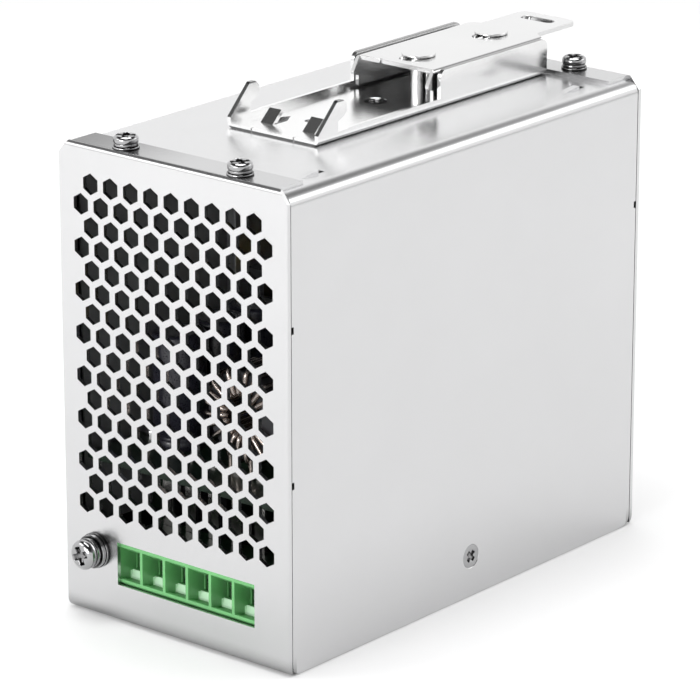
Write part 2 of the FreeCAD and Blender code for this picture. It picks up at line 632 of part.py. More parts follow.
def can(x, y, radius, height):
    """An aluminium capacitor can with a rounded top and a crimp groove."""
    shape = rod(x, y, DECK, Z_AXIS, height, radius)
    shape = round_rims(shape, 0.8, lambda c: c.z > DECK + height / 2)
    groove = Part.makeTorus(radius + 0.3, 0.9, Vector(x, y, DECK + 3.0), Z_AXIS)
    return shape.cut(groove)


def make_bulk_capacitors():
    return group([can(x, 46.0, 10.8, 42.0) for x in (-10.0, 12.5)])


def make_output_capacitors():
    return group([can(-17.3, y, 6.2, 27.0) for y in (-41.5, -28.5, -15.5)])


def make_transformer_core():
    """Two E-shaped ferrite halves, modelled as one: a middle leg between two windows."""
    x0, x1, y0, y1, z0, z1 = CORE
    core = box(x0, x1, y0, y1, z0, z1)
    windows = [box(x0 - 1, x1 + 1, y0 + 5.5, y0 + 14.0, z0 + 6, z1 - 6),
               box(x0 - 1, x1 + 1, y1 - 14.0, y1 - 5.5, z0 + 6, z1 - 6)]
    return cut(core, windows)


def make_transformer_winding():
    """Taped windings on the middle leg, and the bobbin's pin rows."""
    x0, x1, y0, y1, z0, z1 = CORE
    coil_block = box(x0 - 7.4, x1 + 7.4, y0 + 5.8, y1 - 5.8, z0 + 7, z1 - 7)
    coil_block = round_edges(coil_block, Z_AXIS, 5.0)
    leg = box(x0 - 0.1, x1 + 0.1, y0 + 13.9, y1 - 13.9, z0, z1)
    return coil_block.cut(leg)


def make_transformer_base():
    x0, x1, y0, y1, z0, z1 = CORE
    return box(x0 - 4, x1 + 4, y0 + 1, y1 - 1, DECK, z0)


def make_inductor_core():
    x, y, z = TOROID
    core = rod(x, y - 4.5, z, Y_AXIS, 9, 10.2)
    return cut(core, [rod(x, y - 6, z, Y_AXIS, 12, 5.4)])


def make_inductor_winding():
    """Turns of thick copper wire, each a closed loop round the ring's section."""
    x, y, z = TOROID
    turns = []
    for step in range(16):
        angle = 25 + step * 310 / 15
        loop = box(3.8, 11.8, -6.1, 6.1, -0.6, 0.6)
        loop = round_edges(loop, Z_AXIS, 1.2)
        loop = loop.cut(box(5.3, 10.3, -4.6, 4.6, -2, 2))
        loop = turned(loop, Y_AXIS, -angle - 90)
        turns.append(moved(loop, x, y, z))
    legs = [rod(x + shift, y - 5.3, DECK, Z_AXIS, 0.7, 0.7) for shift in (-3.0, 3.0)]
    return group(turns + legs)


def make_secondary_heat_sink():
    face = SECONDARY_SINK_X
    plate = box(face, face + 2.6, -34.0, 33.0, DECK + 0.5, DECK + 62.0)
    lip = box(20.0, face + 0.1, -34.0, 33.0, DECK + 60.0, DECK + 62.0)
    return fuse([plate, lip])


def make_primary_heat_sink():
    face = PRIMARY_SINK_X
    plate = box(face - 2.6, face, -12.0, 46.0, DECK + 0.5, DECK + 60.0)
    lip = box(face - 0.1, -20.0, -12.0, 46.0, DECK + 58.0, DECK + 60.0)
    return fuse([plate, lip])


def power_package(face_x, side, y, z):
    """A flat moulded device on a heat sink, with three legs down into the board."""
    body_x = sorted((face_x, face_x + side * DEVICE_T))
    body = box(body_x[0], body_x[1], y - 7.8, y + 7.8, z, z + 20)
    leg_x = sorted((face_x + side * 1.8, face_x + side * 2.5))
    legs = [box(leg_x[0], leg_x[1], y + shift - 0.6, y + shift + 0.6, DECK, z)
            for shift in (-5.4, 0, 5.4)]
    hole = rod(face_x - side, y, z + 15, X_AXIS * side, 8, 1.5 + FIT)
    return fuse([body] + legs).cut(hole)


def make_power_transistors():
    return group([power_package(PRIMARY_SINK_X, 1, y, DEVICE_Z) for y in PRIMARY_DEVICES])


def make_output_rectifiers():
    return group([power_package(SECONDARY_SINK_X, -1, y, DEVICE_Z) for y in SECONDARY_DEVICES])


def make_device_screws():
    """Screws that press the power devices on to the heat sinks."""
    screws = []
    for face_x, side, places in ((PRIMARY_SINK_X, 1, PRIMARY_DEVICES),
                                 (SECONDARY_SINK_X, -1, SECONDARY_DEVICES)):
        for y in places:
            screw = turned(pan_screw(2.7, 1.8, 1.5, DEVICE_T), Y_AXIS, 90 * side)
            screws.append(moved(screw, face_x + side * DEVICE_T, y, DEVICE_Z + 15))
    return group(screws)


def make_bridge_rectifier():
    body = box(PRIMARY_SINK_X, -21.8, 30.0, 46.0, DECK + 6, DECK + 24)
    legs = [box(-24.5, -23.7, y, y + 1.0, DECK, DECK + 6) for y in (31.0, 35.5, 40.0, 44.5)]
    return fuse([body] + legs)


def make_line_filter():
    """Common-mode choke: a ferrite frame with a winding on each long leg."""
    frame = box(12.6, 25.4, 13.5, 32.5, DECK + 1.5, DECK + 22)
    frame = frame.cut(box(12, 26, 18.0, 28.0, DECK + 6, DECK + 17.5))
    base = box(13.0, 25.0, 14.0, 32.0, DECK, DECK + 1.5)
    return fuse([frame, base])


def make_line_filter_winding():
    return box(13.6, 24.4, 18.5, 27.5, DECK + 6.3, DECK + 17.2)


def make_x_capacitors():
    first = round_edges(box(13.0, 19.0, -14.0, 10.0, DECK, DECK + 16), Z_AXIS, 0.8)
    second = round_edges(box(-3.0, 15.0, 33.2, 34.8, DECK, DECK + 10), Z_AXIS, 0.5)
    return group([first, second])


def disc_part(x, y, radius, thick):
    """A dipped disc standing on two legs."""
    disc = rod(x, y - thick / 2, DECK + radius + 2.5, Y_AXIS, thick, radius)
    disc = round_rims(disc, thick * 0.35, lambda c: True)
    legs = [rod(x + shift, y, DECK, Z_AXIS, radius + 1.5, 0.35) for shift in (-2.5, 2.5)]
    return fuse([disc] + legs)


def make_y_capacitors():
    return group([disc_part(x, -25.0, 3.8, 3.6) for x in (1.0, 11.0)])


def make_thermistor():
    return disc_part(-3.5, -31.0, 5.8, 4.4)


def make_fuse_tube():
    return rod(-5.0, -17.5, DECK + 5.0, X_AXIS, 14.0, 2.4)


def make_fuse_caps():
    caps = []
    for x in (-10.0, 9.0):
        cap = rod(x, -17.5, DECK + 5.0, X_AXIS, 5.0, 2.6)
        clip = box(x + 1.2, x + 3.8, -20.5, -14.5, DECK, DECK + 2.5)
        caps.append(fuse([cap, clip]))
    return group(caps)


def make_insulating_sheets():
    """Thin film between the live parts and the cover's sides."""
    return group([box(x, x + 0.4, -58.0, 58.0, TAB_HEIGHT + 3, DEPTH - 6) for x in (-31.6, 31.2)])


# ---- control board, lamp and voltage trimmer -----------------------------------------
def make_control_board():
    return box(CONTROL_X - 1.6, CONTROL_X, -34.0, -6.0, 5.0, BOARD_Z)


def make_control_chips():
    chips = []
    for y, z in ((-28.0, 24.0), (-14.0, 24.0), (-21.0, 14.0)):
        chips.append(box(CONTROL_X, CONTROL_X + 1.6, y - 2.0, y + 2.0, z - 2.6, z + 2.6))
    return group(chips)


def make_trimmer_body():
    body = box(CONTROL_X, TRIMMER_X + 3.3, TRIMMER_Y - 3.3, TRIMMER_Y + 3.3, 3.4, 10.0)
    return body.cut(rod(TRIMMER_X, TRIMMER_Y, 3.0, Z_AXIS, 2.4, 2.1))


def make_trimmer_rotor():
    rotor = rod(TRIMMER_X, TRIMMER_Y, 1.6, Z_AXIS, 3.5, 2.02)
    slots = cross_recess(3.0, 0.8)
    slots = moved(turned(slots, X_AXIS, 180), TRIMMER_X, TRIMMER_Y, 1.6)
    return rotor.cut(slots)


def make_status_lamp():
    """A 3 mm lamp whose dome looks out through the front panel, and its two legs."""
    dome = Part.makeSphere(1.5, Vector(TRIMMER_X, LED_Y, 2.0))
    barrel = rod(TRIMMER_X, LED_Y, 2.0, Z_AXIS, 3.4, 1.5)
    rim = rod(TRIMMER_X, LED_Y, 5.0, Z_AXIS, 0.8, 1.9)
    legs = []
    for y in (LED_Y - 0.9, LED_Y + 0.9):
        legs.append(box(TRIMMER_X - 0.25, TRIMMER_X + 0.25, y - 0.25, y + 0.25, 5.6, 8.0))
        legs.append(box(CONTROL_X, TRIMMER_X + 0.25, y - 0.25, y + 0.25, 7.5, 8.0))
    return fuse([dome, barrel, rim] + legs)


# ---- write every node ----------------------------------------------------------------
NODES = {
    "chassis": make_chassis,
    "cover": make_cover,
    "flange_screws": make_flange_screws,
    "flange_spring_washers": make_flange_spring_washers,
    "flange_washers": make_flange_washers,
    "clinch_nuts": make_clinch_nuts,
    "side_screws": make_side_screws,
    "earth_screw": make_earth_screw,
    "earth_spring_washer": make_earth_spring_washer,
    "earth_cup_washer": make_earth_cup_washer,
    "earth_washer": make_earth_washer,
    "earth_nut": make_earth_nut,
    "clip_bracket": make_clip_bracket,
    "guide_pins": make_guide_pins,
    "bracket_screws": make_bracket_screws,
    "rail_latch": make_rail_latch,
    "latch_spring": make_latch_spring,
    "terminal_housing": make_terminal_housing,
    "terminal_bars": make_terminal_bars,
    "main_board": make_main_board,
    "standoffs": make_standoffs,
    "board_screws": make_board_screws,
    "bulk_capacitors": make_bulk_capacitors,
    "output_capacitors": make_output_capacitors,
    "transformer_core": make_transformer_core,
    "transformer_winding": make_transformer_winding,
    "transformer_base": make_transformer_base,
    "inductor_core": make_inductor_core,
    "inductor_winding": make_inductor_winding,
    "primary_heat_sink": make_primary_heat_sink,
    "secondary_heat_sink": make_secondary_heat_sink,
    "power_transistors": make_power_transistors,
    "output_rectifiers": make_output_rectifiers,
    "device_screws": make_device_screws,
    "bridge_rectifier": make_bridge_rectifier,
    "line_filter": make_line_filter,
    "line_filter_winding": make_line_filter_winding,
    "x_capacitors": make_x_capacitors,
    "y_capacitors": make_y_capacitors,
    "thermistor": make_thermistor,
    "fuse_tube": make_fuse_tube,
    "fuse_caps": make_fuse_caps,
    "insulating_sheets": make_insulating_sheets,
    "control_board": make_control_board,
    "control_chips": make_control_chips,
    "trimmer_body": make_trimmer_body,
    "trimmer_rotor": make_trimmer_rotor,
    "status_lamp": make_status_lamp,
}

os.makedirs("parts", exist_ok=True)
for name, make in NODES.items():
    make().exportStep("parts/" + name + ".step")
for way in range(WAYS):
    make_terminal_screw(way).exportStep("parts/terminal_screw_%d.step" % (way + 1))
    make_terminal_clamp(way).exportStep("parts/terminal_clamp_%d.step" % (way + 1))
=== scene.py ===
import json
import math
import bmesh
import bpy
from mathutils import Matrix, Vector


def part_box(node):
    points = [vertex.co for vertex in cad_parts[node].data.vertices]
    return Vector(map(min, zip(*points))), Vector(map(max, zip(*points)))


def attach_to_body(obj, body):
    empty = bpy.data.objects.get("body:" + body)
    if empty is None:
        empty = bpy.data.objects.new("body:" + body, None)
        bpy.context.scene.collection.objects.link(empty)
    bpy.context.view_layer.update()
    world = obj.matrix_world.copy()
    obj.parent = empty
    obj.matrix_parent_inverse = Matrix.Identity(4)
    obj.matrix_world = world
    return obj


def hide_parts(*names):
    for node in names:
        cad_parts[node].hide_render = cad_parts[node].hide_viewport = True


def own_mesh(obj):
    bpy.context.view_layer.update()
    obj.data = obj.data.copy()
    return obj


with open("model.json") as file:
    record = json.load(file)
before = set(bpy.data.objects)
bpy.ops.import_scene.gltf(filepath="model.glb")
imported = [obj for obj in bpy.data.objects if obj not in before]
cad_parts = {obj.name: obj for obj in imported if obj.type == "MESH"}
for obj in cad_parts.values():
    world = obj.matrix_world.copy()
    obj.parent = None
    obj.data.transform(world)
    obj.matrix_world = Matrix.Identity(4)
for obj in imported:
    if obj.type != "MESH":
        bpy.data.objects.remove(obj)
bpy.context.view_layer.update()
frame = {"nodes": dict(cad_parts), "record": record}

MM = 0.001
NODES = frame["nodes"]
CASE_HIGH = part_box("chassis")[1]
SHEET = 0.98 * MM              # the case's 1 mm sheet, less a sliver, so that a mask takes in its inner face
NOISE_LOW, NOISE_HIGH = 0.3, 0.7     # where nearly all of a noise texture's values lie
EVEN = (1, 1, 1)               # a grain that is not stretched
FINE_GRAIN, SLOW_CLOUDS = 900, 45    # noise scales per metre, in metal
FINE_SKIN, SKIN_CLOUDS = 2600, 120   # in mouldings
GLASS_STREAKS = 200


# ---- materials -----------------------------------------------------------------------
def new_material(name):
    """A material, its tree and its shader."""
    material = bpy.data.materials.new(name)
    material.use_nodes = True
    tree = material.node_tree
    shader = tree.nodes["Principled BSDF"]
    return material, tree, shader


def add(tree, kind, **values):
    """A new node, with each value set on the input or the property of that name."""
    node = tree.nodes.new(kind)
    for key, value in values.items():
        if key in node.inputs:
            node.inputs[key].default_value = value
        else:
            setattr(node, key, value)
    return node


def grain(tree, stretch, scale, detail=4.0):
    """Noise in the object's own metres, stretched along an axis for a rolled or brushed look."""
    place = add(tree, "ShaderNodeTexCoord")
    mapping = add(tree, "ShaderNodeMapping")
    mapping.inputs["Scale"].default_value = stretch
    noise = add(tree, "ShaderNodeTexNoise", Scale=scale, Detail=detail, Roughness=0.6)
    tree.links.new(place.outputs["Object"], mapping.inputs["Vector"])
    tree.links.new(mapping.outputs["Vector"], noise.inputs["Vector"])
    return noise.outputs["Fac"]


def ramped(tree, value, start, end, low, high, shape="SMOOTHSTEP"):
    """A value's stretch from start to end, spread from low to high."""
    spread = add(tree, "ShaderNodeMapRange", interpolation_type=shape)
    spread.inputs["From Min"].default_value = start
    spread.inputs["From Max"].default_value = end
    spread.inputs["To Min"].default_value = low
    spread.inputs["To Max"].default_value = high
    tree.links.new(value, spread.inputs["Value"])
    return spread.outputs["Result"]


def between(tree, value, low, high):
    """A noise value spread from low to high."""
    return ramped(tree, value, NOISE_LOW, NOISE_HIGH, low, high, "LINEAR")


def mixed(tree, factor, first, second):
    """A colour or socket that turns to the second colour as the factor goes from zero to one."""
    mix = add(tree, "ShaderNodeMix", data_type="RGBA")
    if isinstance(first, bpy.types.NodeSocket):
        tree.links.new(first, mix.inputs["A"])
    else:
        mix.inputs["A"].default_value = (*first, 1)
    mix.inputs["B"].default_value = (*second, 1)
    tree.links.new(factor, mix.inputs["Factor"])
    return mix.outputs["Result"]


def scaled(colour, share):
    return [channel * share for channel in colour]


def cloudy(tree, shader, clouds, dark, light):
    """The base colour drifts between two tones."""
    colour = mixed(tree, between(tree, clouds, 0, 1), dark, light)
    tree.links.new(colour, shader.inputs["Base Color"])


def bump(tree, shader, height, strength, distance):
    node = add(tree, "ShaderNodeBump", Strength=strength, Distance=distance)
    tree.links.new(height, node.inputs["Height"])
    tree.links.new(node.outputs["Normal"], shader.inputs["Normal"])


def metal(name, colour, rough, stretch=EVEN, spread=0.05, tone=0.04, dents=0.1):
    """Bare or plated metal: fine rolled grain in its gloss, slow clouds in its tone."""
    material, tree, shader = new_material(name)
    shader.inputs["Metallic"].default_value = 1.0
    fine = grain(tree, stretch, FINE_GRAIN)
    clouds = grain(tree, EVEN, SLOW_CLOUDS, 2.0)
    cloudy(tree, shader, clouds, scaled(colour, 1 - tone), scaled(colour, 1 + tone))
    tree.links.new(between(tree, fine, rough - spread, rough + spread), shader.inputs["Roughness"])
    bump(tree, shader, fine, dents, 0.000004)
    return material


def compare(tree, value, operation, limit):
    test = add(tree, "ShaderNodeMath", operation=operation)
    tree.links.new(value, test.inputs[0])
    test.inputs[1].default_value = limit
    return test.outputs[0]


def product(tree, first, second):
    both = add(tree, "ShaderNodeMath", operation="MULTIPLY")
    tree.links.new(first, both.inputs[0])
    tree.links.new(second, both.inputs[1])
    return both.outputs[0]


def within(tree, value, low, high):
    """One where a value lies between two limits, and zero elsewhere."""
    return product(tree, compare(tree, value, "GREATER_THAN", low),
                   compare(tree, value, "LESS_THAN", high))


def position(tree):
    """The X, Y and Z outputs of a surface point in the shared frame."""
    place = add(tree, "ShaderNodeTexCoord")
    split = add(tree, "ShaderNodeSeparateXYZ")
    tree.links.new(place.outputs["Object"], split.inputs["Vector"])
    return split.outputs


def size_of(tree, coordinate):
    """A coordinate without its sign."""
    size = add(tree, "ShaderNodeMath", operation="ABSOLUTE")
    tree.links.new(coordinate, size.inputs[0])
    return size.outputs[0]


def tinted(tree, shader, mask, colour):
    """Where the mask is one, the surface takes another colour."""
    before = shader.inputs["Base Color"].links[0].from_socket
    tree.links.new(mixed(tree, mask, before, colour), shader.inputs["Base Color"])


def sheet_metal(name, colour, rough, inside):
    """Satin sheet, with painted shade along the bends beside the front panel and on the flanges, and painted
    shade on the case's inner faces.
    """
    material = metal(name, colour, rough, (1, 1, 6), 0.02, 0.010, 0.02)
    tree = material.node_tree
    shader = tree.nodes["Principled BSDF"]
    point = position(tree)
    x, z = point["X"], point["Z"]
    across, along = size_of(tree, x), size_of(tree, point["Y"])
    # painted shade along the two bends beside the front panel, fading upwards
    bend_foot, bend_top, bend_reach = 0.6 * MM, 4.8 * MM, 2.4 * MM
    bend = product(tree, ramped(tree, z, bend_foot, bend_top, 0.62, 0.0),
                   compare(tree, along, "GREATER_THAN", CASE_HIGH.y - bend_reach))
    tinted(tree, shader, bend, scaled(colour, 0.35))
    # painted shade on the flanges over the rear wall, darker to the left
    flange_left, flange_right = -31 * MM, 6 * MM
    flange = product(tree, compare(tree, z, "GREATER_THAN", CASE_HIGH.z - 0.02 * MM),
                     ramped(tree, x, flange_left, flange_right, 1.0, 0.25))
    tinted(tree, shader, flange, scaled(colour, 0.22))
    # painted shade: the case's inner faces take the dark inside colour
    hidden = product(tree, compare(tree, across, "LESS_THAN", CASE_HIGH.x - SHEET),
                     compare(tree, along, "LESS_THAN", CASE_HIGH.y - SHEET))
    hidden = product(tree, hidden, within(tree, z, SHEET, CASE_HIGH.z - 2 * SHEET))
    tinted(tree, shader, hidden, inside)
    return material


def moulding(name, colour, rough, glow=0.0, texture=0.25, coat=0.0):
    """Moulded plastic, epoxy or ceramic: a fine spark-eroded skin and a slight tone drift."""
    material, tree, shader = new_material(name)
    skin = grain(tree, EVEN, FINE_SKIN, 3.0)
    clouds = grain(tree, EVEN, SKIN_CLOUDS, 2.0)
    cloudy(tree, shader, clouds, scaled(colour, 0.88), scaled(colour, 1.08))
    tree.links.new(between(tree, skin, rough - 0.06, rough + 0.06), shader.inputs["Roughness"])
    shader.inputs["Subsurface Weight"].default_value = glow
    shader.inputs["Subsurface Radius"].default_value = (0.6, 1.0, 0.6)
    shader.inputs["Subsurface Scale"].default_value = 0.0012
    shader.inputs["Coat Weight"].default_value = coat
    shader.inputs["Coat Roughness"].default_value = 0.08
    bump(tree, shader, skin, texture, 0.00003)
    return material


def glassy(name, colour, rough, solid=0.0):
    """Clear or tinted glass and film, seen through by plain transparency."""
    material, tree, shader = new_material(name)
    streaks = grain(tree, EVEN, GLASS_STREAKS, 2.0)
    tree.links.new(between(tree, streaks, rough, rough + 0.06), shader.inputs["Roughness"])
    shader.inputs["Base Color"].default_value = (*colour, 1)
    shader.inputs["Alpha"].default_value = solid
    return material


def paint_hollow_shade(material, reach):
    """Painted shade: recesses and the gaps between stacked washers are darker, by ambient occlusion."""
    tree = material.node_tree
    near = add(tree, "ShaderNodeAmbientOcclusion", samples=12, Distance=reach)
    hidden, open_to_light = 0.50, 0.97
    painted_hollow_shade = ramped(tree, near.outputs["AO"], hidden, open_to_light, 1.0, 0.0)
    tinted(tree, tree.nodes["Principled BSDF"], painted_hollow_shade, (0.02, 0.02, 0.02))


def bracket_plate(name, colour, rough):
    """Bright plate with a painted dark reflection on the walls' tops and a painted contact shadow at the
    front edge's foot.
    """
    material = metal(name, colour, rough, (1, 5, 1), 0.012, 0.02, 0.0)
    tree = material.node_tree
    shader = tree.nodes["Principled BSDF"]
    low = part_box("clip_bracket")[0]
    wall_top, foot_depth, foot_height = 7.74 * MM, 0.05 * MM, 0.45 * MM
    point = position(tree)
    # painted dark reflection on the tops of the walls
    edge = compare(tree, point["Z"], "GREATER_THAN", CASE_HIGH.z + wall_top)
    tinted(tree, shader, edge, scaled(colour, 0.30))
    # painted contact shadow along the foot of the front edge
    foot = product(tree, compare(tree, point["Y"], "LESS_THAN", low.y + foot_depth),
                   compare(tree, point["Z"], "LESS_THAN", low.z + foot_height))
    tinted(tree, shader, foot, scaled(colour, 0.15))
    return material


def block_plastic(name, colour):
    """Green moulding, with painted light on the wire ramps and painted shade on top of the block inside the
    case.
    """
    material = moulding(name, colour, 0.34, 0.0, 0.1, 0.1)
    tree = material.node_tree
    shader = tree.nodes["Principled BSDF"]
    ramp_front, ramp_back, ramp_foot, ramp_top = -58.06 * MM, -57.0 * MM, 9.42 * MM, 11.26 * MM
    back_front, block_top = -60.0 * MM, 18.3 * MM
    # pale is painted light on the ramps, dark is painted shade on the block's top
    pale, dark = (0.70, 0.98, 0.72), (0.012, 0.030, 0.014)
    point = position(tree)
    ramp_light_mask = product(tree, within(tree, point["Y"], ramp_front, ramp_back),
                   within(tree, point["Z"], ramp_foot, ramp_top))
    tinted(tree, shader, ramp_light_mask, pale)
    # painted shade on top of the block inside the case
    block_top_shade_mask = product(tree, compare(tree, point["Y"], "GREATER_THAN", back_front),
                   compare(tree, point["Z"], "GREATER_THAN", block_top))
    tinted(tree, shader, block_top_shade_mask, dark)
    return material


# the last colour is painted shade for the case's inner faces
CASE = sheet_metal("case_sheet_satin", (0.60, 0.60, 0.605), 0.24, (0.10, 0.10, 0.11))
PLATE = metal("bright_nickel", (0.63, 0.63, 0.63), 0.17, (1, 5, 1), 0.012, 0.02, 0.0)
BRACKET = bracket_plate("bracket_nickel", (0.74, 0.74, 0.74), 0.18)
SCREW = metal("screw_nickel", (0.38, 0.38, 0.385), 0.12, EVEN, 0.03, 0.05, 0.03)
# painted shade in the screws' recesses and between their washers
paint_hollow_shade(SCREW, 2.0 * MM)
SPRING = metal("spring_wire", (0.58, 0.58, 0.59), 0.22, EVEN, 0.05, 0.06, 0.10)
CAGE = metal("zinc_cage_plate", (0.36, 0.36, 0.35), 0.30, EVEN, 0.07, 0.10, 0.20)
TIN = metal("tin_plate", (0.72, 0.71, 0.68), 0.20, EVEN, 0.05, 0.05, 0.15)
ALUMINIUM = metal("mill_aluminium", (0.55, 0.56, 0.57), 0.33, (1, 8, 1), 0.06, 0.04, 0.20)
COPPER = metal("enamelled_copper", (0.56, 0.49, 0.45), 0.20, EVEN, 0.05, 0.10, 0.05)
GREEN = block_plastic("terminal_polyamide", (0.13, 0.40, 0.14))
BOARD = moulding("solder_mask", (0.012, 0.026, 0.015), 0.32, 0.0, 0.4, 0.5)
SLEEVE = moulding("capacitor_sleeve", (0.02, 0.02, 0.03), 0.30, 0.0, 0.1, 0.4)
FERRITE = moulding("ground_ferrite", (0.045, 0.045, 0.05), 0.48, 0.0, 0.5)
TAPE = moulding("polyester_tape", (0.40, 0.30, 0.06), 0.26, 0.05, 0.1, 0.5)
PHENOLIC = moulding("phenolic_base", (0.03, 0.03, 0.03), 0.40)
EPOXY = moulding("device_epoxy", (0.02, 0.02, 0.022), 0.45, 0.0, 0.4)
FILM_CAP = moulding("film_capacitor_case", (0.42, 0.34, 0.10), 0.34, 0.05, 0.15)
BLUE_DIP = moulding("blue_dip", (0.04, 0.14, 0.36), 0.30, 0.05, 0.3)
GREEN_DIP = moulding("green_dip", (0.04, 0.14, 0.06), 0.32, 0.05, 0.3)
TRIMMER = moulding("trimmer_case", (0.04, 0.14, 0.50), 0.36)
ROTOR = moulding("trimmer_rotor_white", (0.82, 0.81, 0.76), 0.40)
LENS = moulding("lamp_lens_green", (0.06, 0.55, 0.12), 0.12, 0.5, 0.02, 0.6)
FILM = glassy("insulating_film", (0.30, 0.31, 0.31), 0.30, 0.55)
GLASS = glassy("fuse_glass_tube", (0.95, 0.97, 0.97), 0.03, 0.22)

SLOT_MATERIAL = {
    "case_sheet": CASE, "bright_plate": PLATE, "spring_steel": SPRING, "terminal_green": GREEN,
    "tinned_copper": TIN, "zinc_cage": CAGE, "board": BOARD, "can_sleeve": SLEEVE,
    "ferrite": FERRITE, "winding_tape": TAPE, "bobbin": PHENOLIC, "copper_wire": COPPER,
    "heat_sink": ALUMINIUM, "device_mould": EPOXY, "film_capacitor": FILM_CAP,
    "disc_dip": BLUE_DIP, "thermistor_dip": GREEN_DIP, "fuse_glass": GLASS, "film": FILM,
    "lamp_lens": LENS, "trimmer_blue": TRIMMER, "trimmer_white": ROTOR,
}
NODE_SLOT = {part["node"]: part["material_slot"] for part in frame["record"]["subparts"]}
for node_name, node in NODES.items():
    node.material_slots[0].material = SLOT_MATERIAL[NODE_SLOT[node_name]]


# ---- mesh helpers --------------------------------------------------------------------
def body_holding(node_name):
    """The moving body, or the case, that a node belongs to."""
    for body, members in frame["record"]["behaviour"]["bodies"].items():
        if node_name in members:
            return body
    raise ValueError(node_name)


def as_object(name, mesh, material, smooth_angle):
    piece = bpy.data.objects.new(name, mesh)
    bpy.context.scene.collection.objects.link(piece)
    mesh.materials.clear()
    mesh.materials.append(material)
    mesh.shade_smooth()
    mesh.set_sharp_from_angle(angle=math.radians(smooth_angle))
    return piece


def from_lists(name, points, faces, material, smooth_angle=35):
    mesh = bpy.data.meshes.new(name)
    mesh.from_pydata([tuple(p) for p in points], [], faces)
    work = bmesh.new()
    work.from_mesh(mesh)
    bmesh.ops.remove_doubles(work, verts=work.verts, dist=1e-7)
    bmesh.ops.recalc_face_normals(work, faces=work.faces)
    work.to_mesh(mesh)
    work.free()
    mesh.update()
    return as_object(name, mesh, material, smooth_angle)


def attach(piece, node_name, also=()):
    """The piece stands for a CAD node: it rides on the node's body, and the node is hidden."""
    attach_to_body(piece, body_holding(node_name))
    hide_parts(node_name, *also)
    return piece


def softened(node_name, width, material=None, segments=2, angle=28):
    """The node's own shape with its sharp edges rounded over, as pressing or moulding leaves them."""
    source = NODES[node_name]
    mesh = source.data.copy()
    if "custom_normal" in mesh.attributes:
        mesh.attributes.remove(mesh.attributes["custom_normal"])
    work = bmesh.new()
    work.from_mesh(mesh)
    bmesh.ops.remove_doubles(work, verts=work.verts, dist=2e-6)
    bmesh.ops.dissolve_limit(work, angle_limit=math.radians(0.6), verts=work.verts,
                             edges=work.edges, use_dissolve_boundaries=False)
    work.to_mesh(mesh)
    work.free()
    raw = bpy.data.objects.new(node_name + "_raw", mesh)
    bpy.context.scene.collection.objects.link(raw)
    bevel = raw.modifiers.new("edges", "BEVEL")
    bevel.width = width
    bevel.segments = segments
    bevel.limit_method = "ANGLE"
    bevel.angle_limit = math.radians(angle)
    bevel.use_clamp_overlap = True
    mesh.shade_smooth()
    mesh.set_sharp_from_angle(angle=math.radians(40))
    level = raw.modifiers.new("level", "WEIGHTED_NORMAL")      # flat faces stay flat up to their edges
    level.mode = "FACE_AREA"
    level.weight = 100
    level.keep_sharp = True
    graph = bpy.context.evaluated_depsgraph_get()
    finished = bpy.data.meshes.new_from_object(raw.evaluated_get(graph))
    bpy.data.objects.remove(raw)
    finished.name = node_name + "_skin"
    piece = bpy.data.objects.new(node_name + "_skin", finished)
    bpy.context.scene.collection.objects.link(piece)
    finished.materials.clear()
    finished.materials.append(material or source.material_slots[0].material)
    return attach(piece, node_name)


def rings_joined(rings, steps, closed=False):
    """Quads between neighbouring rings of points, each ring with the same number of steps."""
    faces = []
    for ring in range(rings if closed else rings - 1):
        after = (ring + 1) % rings
        for step in range(steps):
            other = (step + 1) % steps
            faces.append((ring * steps + step, ring * steps + other,
                          after * steps + other, after * steps + step))
    return faces


def ring_ends(rings, steps):
    """The faces that close the first and the last ring."""
    return [tuple(range(steps)), tuple((rings - 1) * steps + step for step in range(steps))]


def ring_points(radius, height, steps):
    turns = [2 * math.pi * step / steps for step in range(steps)]
    return [Vector((radius * math.cos(turn), radius * math.sin(turn), height)) for turn in turns]


def lathe(name, profile, material, place, axis="Z", steps=64, smooth_angle=35):
    """A turned piece: (radius, height) points spun about an axis through a place."""
    turn = aim(axis)
    points = [turn @ point + Vector(place) for radius, height in profile
              for point in ring_points(radius, height, steps)]
    return from_lists(name, points, rings_joined(len(profile), steps), material, smooth_angle)


def aim(axis):
    """The rotation that turns +Z to the named direction."""
    return {"Z": Matrix.Identity(3), "-Z": Matrix.Rotation(math.pi, 3, "X"),
            "-Y": Matrix.Rotation(math.pi / 2, 3, "X"), "Y": Matrix.Rotation(-math.pi / 2, 3, "X"),
            "X": Matrix.Rotation(math.pi / 2, 3, "Y"), "-X": Matrix.Rotation(-math.pi / 2, 3, "Y")}[axis]


def rounded_section(x0, x1, y0, y1, radius, steps=4):
    """Corner points of a rounded rectangle, anticlockwise."""
    corners = [(x1 - radius, y1 - radius, 0), (x0 + radius, y1 - radius, 90),
               (x0 + radius, y0 + radius, 180), (x1 - radius, y0 + radius, 270)]
    points = []
    for x, y, start in corners:
        for step in range(steps + 1):
            angle = math.radians(start + 90 * step / steps)
            points.append((x + radius * math.cos(angle), y + radius * math.sin(angle)))
    return points


def smooth_step(value):
    value = min(1.0, max(0.0, value))
    return value * value * (3 - 2 * value)


def recess_depth(x, y, size, drive):
    """How deep a driver recess is at a point of a screw's head, from 0 to 1."""
    arm = size * 0.17
    end_slope, side_slope = 4.0, 3.6
    best = 0.0
    lines = ((x, y), (y, x)) if drive == "cross" else ((x, y),)
    for along, across in lines:
        reach = 1 - abs(along) / (size / 2)
        side = 1 - abs(across) / arm
        best = max(best, min(smooth_step(reach * end_slope), smooth_step(side * side_slope)))
    if drive == "cross":
        inward = max(0.0, 1 - math.hypot(x, y) / (size / 2))
        best = max(best * (0.5 + 0.5 * inward), 0.5 * inward)     # the arms meet in a shallow dish
    return best


